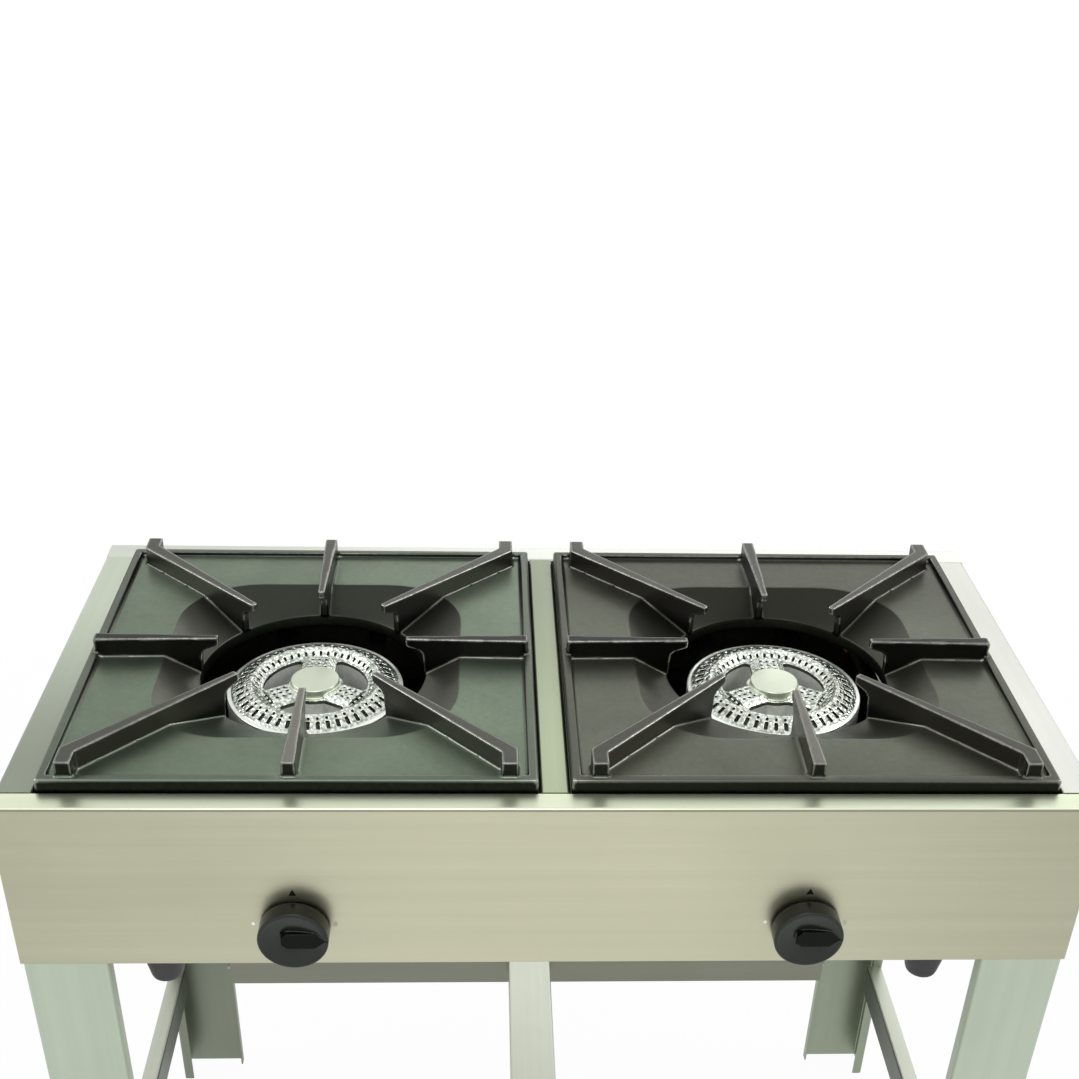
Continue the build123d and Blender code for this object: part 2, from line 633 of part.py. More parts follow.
def spoke_ridges():
    """Raised spokes with sloped flanks, from inside the boss to inside the ring."""
    level, foot = SPOKE_RIDGE / 2, SPOKE_WIDE / 2
    section = make_face(Polyline((-foot, WEB_TOP - 1), (foot, WEB_TOP - 1), (foot, WEB_TOP), (level, SPOKE_TOP),
                                 (-level, SPOKE_TOP), (-foot, WEB_TOP), close=True))
    ridge = extrude(Plane.XZ.offset(-BOSS_R + 4) * section, RING_IN_R - BOSS_R, dir=(0, 1, 0))
    return [Rot(0, 0, 360 / SPOKES * spoke) * ridge for spoke in range(SPOKES)]


def burner_head():
    """Hollow ported ring, three spokes and a raised boss, with a spigot that drops into the base."""
    lip = HEAD_SEAT + HEAD_LIP
    spigot_r = BASE_R - BASE_WALL - SPIGOT_FIT
    outline = [(0, HEAD_SEAT), (spigot_r - SPIGOT_WALL, HEAD_SEAT),
               (spigot_r - SPIGOT_WALL, HEAD_SEAT - SPIGOT_DEEP), (spigot_r, HEAD_SEAT - SPIGOT_DEEP),
               (spigot_r, HEAD_SEAT), (HEAD_R - 0.8, HEAD_SEAT), (HEAD_R, HEAD_SEAT + 0.8),
               (HEAD_R, lip - 0.6), (HEAD_R - 0.6, lip), (RING_OUT_R, lip), (RING_CREST_R, RING_CREST),
               (RING_CREST_R - RING_FLAT, RING_CREST), (RING_IN_R, WEB_TOP),
               (BOSS_R, WEB_TOP), (BOSS_R, BOSS_TOP - 0.8), (BOSS_R - 0.8, BOSS_TOP), (0, BOSS_TOP)]
    shape = upright(outline, (0, 0, 0)) + spoke_ridges()
    opening = windows()
    inner_r = RING_IN_R + HEAD_WALL
    under_ring = [(inner_r, HEAD_SEAT - 1), (spigot_r - SPIGOT_WALL, HEAD_SEAT - 1),
                  (spigot_r - SPIGOT_WALL, HEAD_SEAT), (RING_CREST_R, RING_CREST - HEAD_WALL),
                  (RING_CREST_R - RING_FLAT, RING_CREST - HEAD_WALL), (inner_r, WEB_TOP - WEB_THICK)]
    shape -= upright(under_ring, (0, 0, 0))
    under_web = Circle(inner_r + 1) - offset(opening, HEAD_WALL)
    shape -= extrude(Pos(0, 0, HEAD_SEAT - 1) * under_web, WEB_TOP - WEB_THICK - HEAD_SEAT + 1, dir=(0, 0, 1))
    shape -= extrude(Pos(0, 0, HEAD_SEAT - 1) * opening, BOSS_TOP - HEAD_SEAT + 2, dir=(0, 0, 1))
    return shape - ports()


def burner_base():
    """Cast trough of the head's plan, the neck below it and the mixing tube that runs forward."""
    floor = BASE_FLOOR - BASE_FLOOR_THICK
    cup = upright([(0, floor), (BASE_R - BASE_BEVEL, floor), (BASE_R, floor + BASE_BEVEL),
                   (BASE_R, HEAD_SEAT), (0, HEAD_SEAT)], (0, 0, 0))
    trough = Circle(BASE_R - BASE_WALL) - offset(windows(), HEAD_WALL)
    cup -= extrude(Pos(0, 0, BASE_FLOOR) * trough, HEAD_SEAT - BASE_FLOOR + 1, dir=(0, 0, 1))
    cup -= extrude(Pos(0, 0, floor - 1) * windows(), HEAD_SEAT - floor + 2, dir=(0, 0, 1))
    back = TUBE_R + 2
    tube = along_y([(0, -TUBE_MOUTH), (MOUTH_R, -TUBE_MOUTH), (MOUTH_R, -TUBE_MOUTH + 4),
                    (TUBE_R, -TUBE_MOUTH + MOUTH_LONG), (TUBE_R, back - 8), (TUBE_R - 8, back), (0, back)],
                   (0, 0, TUBE_Z))
    bore = along_y([(0, -TUBE_MOUTH - 1), (MOUTH_R - 4, -TUBE_MOUTH - 1), (MOUTH_R - 4, -TUBE_MOUTH + 2),
                    (TUBE_IN_R, -TUBE_MOUTH + MOUTH_LONG), (TUBE_IN_R, NECK_IN_R - 4), (0, NECK_IN_R - 4)],
                   (0, 0, TUBE_Z))
    neck = rod(NECK_R, (0, 0, TUBE_Z - 5), (0, 0, floor + 1))
    throat = rod(NECK_IN_R, (0, 0, TUBE_Z + 3), (0, 0, BASE_FLOOR + 1))
    return cup + tube + neck - bore - throat


def burner_supports(x):
    """Two channels that run from the front panel to the rear panel and carry a burner."""
    ends = (FRONT + SHEET, REAR - SHEET)
    return Compound([channel(x + offset, ends, HEIGHT + SUPPORT_TOP, SUPPORT_WIDE, SUPPORT_HIGH)
                     for offset in (-SUPPORT_X, SUPPORT_X)])


# ---- taps and gas pipes --------------------------------------------------------------------
def d_section(extra):
    """D-shaped section of the stem, grown by extra all round."""
    r = STEM_R + extra
    return Circle(r) - Pos(0, STEM_FLAT + extra + r) * Rectangle(2 * r, 2 * r)


def facing(y):
    """Plane across the tap's axis, y behind the front panel's face, looking back."""
    return Plane((0, y, 0), x_dir=(1, 0, 0), z_dir=(0, 1, 0))


def knob():
    """Turned knob with a dished face. The grip bar in the dish ends in a point on the right."""
    back = -KNOB_GAP
    face = -KNOB_REACH
    floor = face + KNOB_DISH
    dish_r = KNOB_R - KNOB_EDGE - KNOB_RIM
    body = along_y([(0, back), (KNOB_R - 1, back), (KNOB_R, back - 1), (KNOB_R, face + KNOB_EDGE),
                    (KNOB_R - KNOB_EDGE, face), (dish_r, face), (dish_r - 0.8, face + 1),
                    (KNOB_DISH_FLOOR_R, floor), (0, floor)], (0, 0, 0))
    upper = [(-GRIP_BACK, GRIP_HALF - GRIP_CORNER), (GRIP_CORNER - GRIP_BACK, GRIP_HALF),
             (GRIP_TAPER, GRIP_HALF), (POINTER_R, POINTER_HALF)]
    plan = make_face(Polyline(*upper, *[(x, -z) for x, z in reversed(upper)], close=True))
    base = Plane((0, floor + 1, 0), x_dir=(1, 0, 0), z_dir=(0, -1, 0))
    body += extrude(base * plan, KNOB_DISH + 1)
    return body - extrude(facing(back - 13) * d_section(STEM_FIT), 14, dir=(0, 1, 0))


def valve_stem():
    """D-section front end, shoulder that presses the collar, and a round shaft."""
    front = -KNOB_GAP - 12
    collar_at = BONNET_FROM + 0.5
    shape = extrude(facing(front) * d_section(0), -1 - front, dir=(0, 1, 0))
    shape += rod(STEM_R, (0, -1, 0), (0, STEM_END, 0))
    return shape + rod(SHOULDER_R, (0, collar_at - 2.2, 0), (0, collar_at - 0.1, 0))


def thrust_collar():
    """Ring that slides in the bonnet when the knob is pressed."""
    at = BONNET_FROM + 0.5
    shape = rod(COLLAR_R, (0, at, 0), (0, at + COLLAR_LONG, 0))
    return shape - rod(STEM_R + STEM_FIT, (0, at - 1, 0), (0, at + COLLAR_LONG + 1, 0))


def tap_body():
    """Tap body: bonnet, barrel with a hexagon, outlet boss on top and inlet spigot behind."""
    recess = BONNET_FROM + 0.5 + COLLAR_LONG + PUSH + 0.5
    shape = along_y([(0, BONNET_FROM), (BONNET_R - 1, BONNET_FROM), (BONNET_R, BONNET_FROM + 1),
                     (BONNET_R, VALVE_FROM - 3), (VALVE_R, VALVE_FROM + 3), (VALVE_R, VALVE_TO - 6),
                     (INLET_SPIGOT_R + 4, VALVE_TO), (INLET_SPIGOT_R, VALVE_TO), (INLET_SPIGOT_R, BOSS_FACE),
                     (0, BOSS_FACE)], (0, 0, 0))
    shape += rod(FEED_R + 3, (0, FEED_Y, 0), (0, FEED_Y, VALVE_R + 2))
    shape += hex_bar(22, (0, VALVE_TO - 1, 0), (0, VALVE_TO + 7, 0))
    shape -= rod(COLLAR_R + COLLAR_FIT, (0, BONNET_FROM - 1, 0), (0, recess, 0))
    return shape - rod(STEM_R + STEM_FIT, (0, recess - 1, 0), (0, STEM_END + PUSH + 1, 0))


def feed_tube():
    """Bent tube from the tap's outlet up and back to the injector, about the tap's axis."""
    top = TUBE_Z - KNOB_Z
    end = BURNER_Y - FRONT - TUBE_MOUTH - INJECTOR_GAP - NOZZLE_LONG - INJECTOR_LONG
    path = FilletPolyline((0, FEED_Y, VALVE_R + 2), (0, FEED_Y, top), (0, end, top), radius=FEED_BEND)
    ring = Plane((0, FEED_Y, VALVE_R + 2)) * (Circle(FEED_R) - Circle(FEED_R - 1))
    return sweep(ring, path=path)


def injector():
    """Hexagon holder and nozzle that point into the mixing tube, about the burner's axis."""
    tip = -TUBE_MOUTH - INJECTOR_GAP
    back = tip - NOZZLE_LONG
    hexagon = hex_bar(INJECTOR_FLATS, (0, back - INJECTOR_LONG, TUBE_Z), (0, back, TUBE_Z))
    nozzle = along_y([(0, back), (6, back), (6, tip - 3), (2.5, tip), (0, tip)], (0, 0, TUBE_Z))
    return hexagon + nozzle - rod(1.1, (0, tip - 4, TUBE_Z), (0, tip + 1, TUBE_Z))


def gas_manifold():
    """Pipe behind the front panel that bends back along the right side, with a boss for each tap."""
    y = FRONT + PIPE_Y
    start, corner, end = (PIPE_LEFT, y, PIPE_Z), (PIPE_RIGHT, y, PIPE_Z), (PIPE_RIGHT, COUPLING_FROM, PIPE_Z)
    path = FilletPolyline(start, corner, end, radius=PIPE_BEND)
    across = Plane(start, z_dir=(1, 0, 0))
    shape = sweep(across * Circle(PIPE_R), path=path)
    for sign in SIDES.values():
        shape += rod(PIPE_BOSS_R, (sign * BURNER_X, FRONT + BOSS_FACE, PIPE_Z), (sign * BURNER_X, y, PIPE_Z))
    shape -= sweep(across * Circle(PIPE_BORE), path=path)
    for sign in SIDES.values():
        inner = INLET_SPIGOT_R - 3
        shape -= rod(inner, (sign * BURNER_X, FRONT + BOSS_FACE - 1, PIPE_Z), (sign * BURNER_X, y, PIPE_Z))
    return shape


def pipe_straps():
    """Two straps round the manifold that stand on the bottom pan."""
    y = FRONT + PIPE_Y
    half = STRAP_SHEET / 2
    group = []
    for x in (-STRAP_X, STRAP_X):
        low, high = x - STRAP_WIDE / 2, x + STRAP_WIDE / 2
        ring = rod(PIPE_R + PIPE_FIT + STRAP_SHEET, (low, y, PIPE_Z), (high, y, PIPE_Z))
        post = block((low, high), (y - half, y + half), (PAN_TOP, PIPE_Z))
        foot = block((low, high), (y - half, y + STRAP_WIDE), (PAN_TOP, PAN_TOP + STRAP_SHEET))
        group.append(ring + post + foot - rod(PIPE_R + PIPE_FIT, (low - 1, y, PIPE_Z), (high + 1, y, PIPE_Z)))
    return Compound(group)


def manifold_cap():
    """Hexagon cap on the closed end of the manifold."""
    y = FRONT + PIPE_Y
    start = PIPE_LEFT - 4
    cap = hex_bar(CAP_FLATS, (start, y, PIPE_Z), (start + CAP_LONG, y, PIPE_Z))
    return cap - rod(PIPE_R + PIPE_FIT, (PIPE_LEFT, y, PIPE_Z), (PIPE_LEFT + CAP_LONG, y, PIPE_Z))


def gas_inlet():
    """Coupling on the end of the pipe, shank through the rear panel and threaded free end."""
    x, start, end = PIPE_RIGHT, COUPLING_FROM, REAR + INLET_REACH
    shape = hex_bar(COUPLING_FLATS, (x, start, PIPE_Z), (x, start + COUPLING_LONG, PIPE_Z))
    shape += rod(SHANK_R, (x, start, PIPE_Z), (x, REAR + NUT_LONG, PIPE_Z))
    shape += rod(THREAD_R, (x, start, PIPE_Z), (x, end, PIPE_Z))
    return shape - rod(THREAD_BORE, (x, start - 1, PIPE_Z), (x, end + 1, PIPE_Z))


def inlet_nut():
    """Locknut that holds the inlet to the rear panel."""
    x = PIPE_RIGHT
    nut = hex_bar(NUT_FLATS, (x, REAR, PIPE_Z), (x, REAR + NUT_LONG, PIPE_Z))
    return nut - rod(SHANK_R + NUT_FIT, (x, REAR - 1, PIPE_Z), (x, REAR + NUT_LONG + 1, PIPE_Z))


# ---- write every node ----------------------------------------------------------------------
os.makedirs("parts", exist_ok=True)

save("front_panel", front_panel())
save("rear_panel", rear_panel())
save("centre_rail", centre_rail())
save("bottom_pan", bottom_pan())
save("body_feet", body_feet())
save("leg_nuts", leg_nuts())
save("rail_bolts", Compound([bolt(place, way, LEG_SHEET + SHEET) for place, way in rail_joints()]))
save("beam_bolts", Compound([bolt(place, way, 2 * SHEET) for place, way in beam_bolts()]))
for name, shape in low_frame().items():
    save(name, shape)

one_grate = grate()
one_head = burner_head()
one_base = burner_base()
for side, sign in SIDES.items():
    burner_at = Pos(sign * BURNER_X, BURNER_Y, HEIGHT)
    tap_at = Pos(sign * BURNER_X, FRONT, PIPE_Z)
    save(f"{side}_side_panel", side_panel(sign))
    save(f"front_{side}_leg", leg(sign, 1, FRONT + SHEET))
    save(f"rear_{side}_leg", leg(sign, -1, REAR - SHEET))
    save(f"{side}_grate", burner_at * one_grate)
    save(f"{side}_burner_head", burner_at * one_head)
    save(f"{side}_burner_base", burner_at * one_base)
    save(f"{side}_burner_supports", burner_supports(sign * BURNER_X))
    save(f"{side}_injector", burner_at * injector())
    save(f"{side}_tap_body", tap_at * tap_body())
    save(f"{side}_feed_tube", tap_at * feed_tube())
    save(f"{side}_thrust_collar", tap_at * thrust_collar())
    save(f"{side}_valve_stem", tap_at * valve_stem())
    save(f"{side}_knob", tap_at * knob())

save("gas_manifold", gas_manifold())
save("pipe_straps", pipe_straps())
save("manifold_cap", manifold_cap())
save("gas_inlet", gas_inlet())
save("inlet_nut", inlet_nut())
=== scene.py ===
import json
import math

import bmesh
import bpy
from mathutils import Matrix, Vector


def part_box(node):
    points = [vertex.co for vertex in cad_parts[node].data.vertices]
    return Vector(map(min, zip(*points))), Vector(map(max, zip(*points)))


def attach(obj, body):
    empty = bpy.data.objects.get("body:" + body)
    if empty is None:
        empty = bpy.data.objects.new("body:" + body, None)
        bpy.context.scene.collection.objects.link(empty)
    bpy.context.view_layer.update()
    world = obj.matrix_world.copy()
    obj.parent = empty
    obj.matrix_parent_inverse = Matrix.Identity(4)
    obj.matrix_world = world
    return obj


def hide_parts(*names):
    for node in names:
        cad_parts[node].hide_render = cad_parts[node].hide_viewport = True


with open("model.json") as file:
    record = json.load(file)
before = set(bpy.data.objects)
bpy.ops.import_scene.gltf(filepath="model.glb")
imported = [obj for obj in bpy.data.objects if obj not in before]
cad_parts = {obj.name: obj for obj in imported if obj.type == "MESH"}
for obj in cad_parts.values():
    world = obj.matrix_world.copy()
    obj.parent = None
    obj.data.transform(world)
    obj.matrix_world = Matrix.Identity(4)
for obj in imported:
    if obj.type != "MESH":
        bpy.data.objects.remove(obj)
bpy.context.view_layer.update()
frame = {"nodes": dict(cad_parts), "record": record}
nodes = frame["nodes"]
scene = bpy.context.scene

# All lengths are in metres, in the part's frame: X to the right, Y to the rear, Z up.
UP = (0, 0, 1)
FORWARD = (0, -1, 0)


# ---------- node trees ----------

class Tree:
    """A short way to write the node tree of a material or world. Colours are (red, green, blue)."""

    def __init__(self, owner):
        owner.use_nodes = True
        self.tree = owner.node_tree
        self.tree.nodes.clear()
        self.x = 0

    def feed(self, node, inputs):
        """Links each socket, and sets each number or colour on the node itself."""
        for key, value in inputs.items():
            socket = node.inputs[key]
            if isinstance(value, bpy.types.NodeSocket):
                self.tree.links.new(value, socket)
            else:
                socket.default_value = (*value, 1) if socket.type == "RGBA" else value

    def add(self, kind, inputs=None, **props):
        node = self.tree.nodes.new("ShaderNode" + kind)
        self.x += 180
        node.location = (self.x, 0)
        for key, value in props.items():
            setattr(node, key, value)
        self.feed(node, inputs or {})
        return node

    def math(self, op, a, b=0.0):
        return self.add("Math", {0: a, 1: b}, operation=op).outputs[0]

    def plus(self, a, b):
        return self.math("ADD", a, b)

    def minus(self, a, b):
        return self.math("SUBTRACT", a, b)

    def times(self, a, b):
        return self.math("MULTIPLY", a, b)

    def larger(self, a, b):
        return self.math("MAXIMUM", a, b)

    def mix(self, factor, a, b, blend="MIX"):
        n = self.add("Mix", {0: factor, 6: a, 7: b}, data_type="RGBA", blend_type=blend)
        return n.outputs[2]

    def tint(self, a, b):
        """Colour a times colour b."""
        return self.mix(1.0, a, b, "MULTIPLY")

    def ramp(self, value, low, high, start=0.0, end=1.0):
        """Grey from start to end as a value goes from low to high."""
        n = self.add("ValToRGB", {0: value})
        for stop, place, grey in zip(n.color_ramp.elements, (low, high), (start, end)):
            stop.position = place
            stop.color = (grey, grey, grey, 1)
        return n.outputs[0]

    def span(self, value, low, high, start=0.0, end=1.0, curve="LINEAR"):
        """A number from start to end as a value goes from low to high."""
        return self.add("MapRange", {0: value, 1: low, 2: high, 3: start, 4: end},
                        interpolation_type=curve).outputs[0]

    def place(self, scale=(1, 1, 1)):
        """Where a point is, times a scale along each axis."""
        c = self.add("TexCoord").outputs["Object"]
        return self.add("Mapping", {"Vector": c, "Scale": scale}).outputs[0]

    def grain(self, axis, along, across):
        """Where a point is, drawn out along one axis."""
        return self.place([along if a == axis else across for a in "xyz"])

    def noise(self, vector, scale, detail, rough, distortion=0.0):
        return self.add("TexNoise", {"Vector": vector, "Scale": scale, "Detail": detail,
                                     "Roughness": rough, "Distortion": distortion}).outputs[0]

    def bump(self, height, strength, distance, normal=None):
        i = {"Height": height, "Strength": strength, "Distance": distance}
        if normal is not None:
            i["Normal"] = normal
        return self.add("Bump", i).outputs[0]

    def facing(self, way, low, high):
        """0 to 1 as a face turns towards a direction."""
        n = self.add("NewGeometry").outputs["Normal"]
        dot = self.add("VectorMath", {0: n, 1: way}, operation="DOT_PRODUCT").outputs["Value"]
        return self.span(dot, low, high, curve="SMOOTHSTEP")

    def above(self, axis, low, high):
        """0 to 1 along X, Y or Z."""
        p = self.add("SeparateXYZ", {0: self.add("TexCoord").outputs["Object"]}).outputs[axis]
        return self.span(p, low, high, curve="SMOOTHSTEP")

    def edges(self, low, high, start=0.0, end=1.0):
        """Grey from start to end, from hollow corners (low) to sharp edges (high)."""
        sharp = self.add("NewGeometry").outputs["Pointiness"]
        return self.ramp(sharp, low, high, start, end)


def material(name):
    """A new material with its tree and its shader."""
    m = bpy.data.materials.new(name)
    t = Tree(m)
    b = t.add("BsdfPrincipled")
    t.add("OutputMaterial", {"Surface": b.outputs[0]})
    return m, t, b


def scaled(colour, k):
    return tuple(min(1.0, v * k) for v in colour)


# ---------- materials ----------

# Noise along and across the brushing, per metre, and the height of fine texture.
FINE_LINES = (6.0, 700.0)
BROAD_BANDS = (1.5, 90.0)
FINE_RELIEF = 0.0002

# A painted broad reflection on the front panel rises and falls along X.
GLOW_RISES = (-0.62, 0.02)
GLOW_FALLS = (0.06, 0.53)
# A ledge's painted reflection goes from its near colour to its distant one along Y.
# The bend beside it is darker, as painted shade.
LEDGE_CHANGES = (-0.20, 0.16)
BEND_SHADE = 0.55


def brushed(name, colour, along, rough, inward_shade=None, inward=(), ledge=None, glow=0.0):
    """Stainless sheet with its grain along one axis, and smudges.
    Faces that look inward are darker as painted shade. The ledge carries a painted reflection, with
    a colour at its front end and one at its rear end, and glow paints a broad reflection along X."""
    m, t, b = material(name)
    lines = t.noise(t.grain(along, *FINE_LINES), 1.0, 3.0, 0.6)
    bands = t.noise(t.grain(along, *BROAD_BANDS), 1.0, 2.0, 0.5)
    cloud = t.noise(t.place(), 5.0, 4.0, 0.55)
    tone = t.plus(t.times(lines, 0.45), t.times(bands, 0.55))
    shade = t.mix(t.ramp(tone, 0.25, 0.75), (0.93, 0.93, 0.93), (1.06, 1.06, 1.06))
    smudge = t.times(t.ramp(cloud, 0.45, 0.7), 0.35)
    shade = t.mix(smudge, shade, (0.88, 0.89, 0.87))
    base = colour
    if glow:
        # Painted reflection: lighter across the middle of the panel along X.
        lit = t.times(t.above("X", *GLOW_RISES), t.minus(1.0, t.above("X", *GLOW_FALLS)))
        base = t.mix(lit, scaled(colour, 1 - glow), scaled(colour, 1 + glow))
    if ledge:
        near, distant = ledge
        # Painted reflection on the ledge, and painted shade on the bend beside it.
        painted_reflection = t.mix(t.above("Y", *LEDGE_CHANGES), near, distant)
        base = t.mix(t.facing(UP, 0.08, 0.22), base, scaled(colour, BEND_SHADE))
        base = t.mix(t.facing(UP, 0.6, 0.9), base, painted_reflection)
    # Painted shade on the faces that look inward.
    for way in inward:
        base = t.mix(t.facing(way, 0.3, 0.7), base, inward_shade)
    r = t.plus(t.times(lines, 0.12), rough - 0.06)
    r = t.plus(r, t.times(cloud, 0.08))
    t.feed(b, {"Base Color": t.tint(base, shade), "Roughness": r, "Metallic": 1.0,
               "Normal": t.bump(lines, 0.12, FINE_RELIEF)})
    return m


def shaded_sheet(name, clean):
    """Sheet whose upper side, inside the body, is nearly black as painted shade."""
    m, t, b = material(name)
    cloud = t.noise(t.place(), 12.0, 5.0, 0.6)
    fine = t.noise(t.grain("x", *FINE_LINES), 1.0, 3.0, 0.6)
    # Painted shade: faces that look up go nearly black, with a random mottle.
    upper_shade = t.facing(UP, -0.3, 0.1)
    dark = t.mix(cloud, (0.006, 0.006, 0.005), (0.016, 0.016, 0.014))
    base = t.mix(upper_shade, t.mix(fine, scaled(clean, 0.9), scaled(clean, 1.08)), dark)
    r = t.plus(t.times(upper_shade, 0.4), t.plus(0.36, t.times(cloud, 0.1)))
    t.feed(b, {"Base Color": base, "Roughness": r, "Metallic": t.minus(1.0, upper_shade),
               "Normal": t.bump(fine, 0.1, FINE_RELIEF), "Specular IOR Level": 0.2})
    return m


# Where a grate's parts begin and end. RIB_SIDE and RIM_INSIDE are off its centre lines.
PLATE_TO_RIB = (0.8605, 0.8635)
DISH_TO_RIB = (0.8635, 0.8665)
# Where the flanks' painted light and the worn and highlighted edges begin in Z.
FLANK_LIGHTER = (0.846, 0.862)
WEAR_AND_HIGHLIGHT_FROM = (0.850, 0.855)
RIB_SIDE = (0.010, 0.022)
RIM_INSIDE = (0.213, 0.215)
# Where the painted light changes along Y: the front half's end, the plate's back, the dish's front
# and back.
FRONT_HALF_ENDS = (-0.05, 0.0)
PLATE_BACK = (0.02, 0.16)
DISH_FRONT = (-0.14, -0.07)
DISH_BACK = (0.03, 0.11)
# Painted light on the ribs: the brightness of those that run left and right, and how much more
# the front middle one has on top.
CROSS_RIB = 0.30
FRONT_RIB_MORE = 1.1


def grate_iron(name, side, plate, dish, rib, dark, back=1.0):
    """Seasoned casting with painted light: a painted sheen on the level plate, painted shade on the
    slopes and the nearly black sides, and edges partly worn bare, partly painted highlight.
    back is the brightness of the painted sheen at the rear."""
    m, t, b = material(name)
    p = t.place()
    sand = t.noise(p, 900.0, 3.0, 0.6)
    lump = t.noise(p, 160.0, 4.0, 0.55)
    cloud = t.noise(p, 11.0, 5.0, 0.55, 0.4)

    low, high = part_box(f"{side}_grate")
    cx, cy = (low[0] + high[0]) / 2, (low[1] + high[1]) / 2
    sep = t.add("SeparateXYZ", {0: p})
    off_x = t.math("ABSOLUTE", t.minus(sep.outputs["X"], cx))
    off_y = t.math("ABSOLUTE", t.minus(sep.outputs["Y"], cy))
    within = t.span(t.larger(off_x, off_y), *RIM_INSIDE, 1.0, 0.0)

    # Painted sheen on the level plate, with a random mottle, dimmer towards the back.
    plate_sheen = t.mix(t.ramp(cloud, 0.3, 0.7), scaled(plate, 0.84), scaled(plate, 1.16))
    plate_sheen = t.mix(t.above("Y", *PLATE_BACK), plate_sheen, t.tint(plate_sheen, (back, back, back)))
    # Painted light on the ribs: the cross ribs darker, the front middle one lighter on top.
    front_rib_light = t.times(t.span(off_x, *RIB_SIDE, FRONT_RIB_MORE, 0.0),
                        t.minus(1.0, t.above("Y", *FRONT_HALF_ENDS)))
    grey = t.plus(t.span(off_y, *RIB_SIDE, CROSS_RIB, 1.0), front_rib_light)
    rib_top = t.tint(rib, t.add("CombineColor", {0: grey, 1: grey, 2: grey}).outputs[0])
    top = t.mix(t.above("Z", *PLATE_TO_RIB), plate_sheen, rib_top)

    # Painted shade in the dish: lighter at its front, much darker at its back; rib feet a little
    # darker.
    hollow = t.mix(t.above("Y", *DISH_FRONT), scaled(plate, 0.8), dish)
    hollow = t.mix(t.above("Y", *DISH_BACK), hollow, scaled(dish, 0.32))
    slope = t.mix(t.above("Z", *DISH_TO_RIB), hollow, t.tint(rib_top, (0.75, 0.75, 0.75)))
    # Painted shade: nearly black sides, lighter near the top inside the rim.
    flank_shade = t.mix(t.times(within, t.above("Z", *FLANK_LIGHTER)), dark,
                  t.tint(rib_top, (0.85, 0.80, 0.80)))
    # Painted light by how a face is turned: level faces get the sheen, slopes the dish's shade,
    # sides the flank's.
    base = t.mix(t.facing(UP, 0.962, 0.992), slope, top)
    base = t.mix(t.facing(UP, 0.15, 0.8), flank_shade, base)
    base = t.mix(t.times(t.ramp(lump, 0.3, 0.75), 0.15), base, scaled(plate, 0.3))

    # Edges, sharp ones and hollow corners alike: partly worn bare metal, partly painted highlight.
    worn = t.larger(t.edges(0.508, 0.535), t.edges(0.445, 0.482, 1.0, 0.0))
    worn = t.times(worn, t.ramp(lump, 0.35, 0.65, 0.55))
    worn = t.times(worn, t.above("Z", *WEAR_AND_HIGHLIGHT_FROM))
    base = t.mix(t.times(worn, 0.75), base, (0.38, 0.385, 0.355))
    r = t.plus(t.times(lump, 0.12), t.times(cloud, 0.16))
    r = t.minus(t.plus(r, 0.24), t.times(worn, 0.16))
    relief = t.bump(lump, 0.25, 0.0004, t.bump(sand, 0.2, FINE_RELIEF))
    t.feed(b, {"Base Color": base, "Roughness": r, "Metallic": 0.92, "Normal": relief,
               "Specular IOR Level": 0.3})
    return m


# Radii at which a burner head's smooth boss ends and its smooth lip begins.
BOSS_ENDS = (0.0262, 0.0275)
LIP_BEGINS = (0.0850, 0.0872)


def silvery(name, side):
    """Bright burner casting: small lumps that glint, a smooth boss and lip, and painted shade in
    its ports.
    """
    m, t, b = material(name)
    p = t.place()
    low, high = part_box(f"{side}_burner_head")
    axis = ((low[0] + high[0]) / 2, (low[1] + high[1]) / 2, 0)
    flat = t.add("VectorMath", {0: p, 1: (1, 1, 0)}, operation="MULTIPLY").outputs["Vector"]
    radius = t.add("VectorMath", {0: flat, 1: axis}, operation="DISTANCE").outputs["Value"]
    boss = t.span(radius, *BOSS_ENDS, 1.0, 0.0)
    lip = t.span(radius, *LIP_BEGINS)
    smooth = t.larger(boss, lip)
    lump = t.add("TexVoronoi", {"Vector": p, "Scale": 330.0}, feature="SMOOTH_F1").outputs[0]
    sand = t.noise(p, 1200.0, 3.0, 0.6)
    cloud = t.noise(p, 35.0, 5.0, 0.6)
    base = t.mix(t.ramp(cloud, 0.3, 0.7), (0.89, 0.92, 0.86), (0.70, 0.74, 0.67))
    base = t.mix(t.ramp(lump, 0.25, 0.7), base, (0.26, 0.30, 0.24))
    base = t.mix(boss, base, (0.60, 0.65, 0.53))
    base = t.mix(lip, base, (0.86, 0.89, 0.83))
    # Painted shade on faces that don't look up, in the ports and on the ring's sides.
    port_shade = t.times(t.facing(UP, 0.5, 0.1), t.minus(1.0, smooth))
    base = t.mix(port_shade, base, (0.16, 0.175, 0.145))
    r = t.plus(0.16, t.times(cloud, 0.16))
    r = t.plus(r, t.times(smooth, 0.1))
    lumpy = t.times(lump, t.minus(1.0, t.larger(boss, t.times(lip, 0.8))))
    relief = t.bump(lumpy, 0.7, 0.0012, t.bump(sand, 0.2, FINE_RELIEF))
    t.feed(b, {"Base Color": base, "Roughness": r, "Metallic": 1.0, "Normal": relief})
    return m


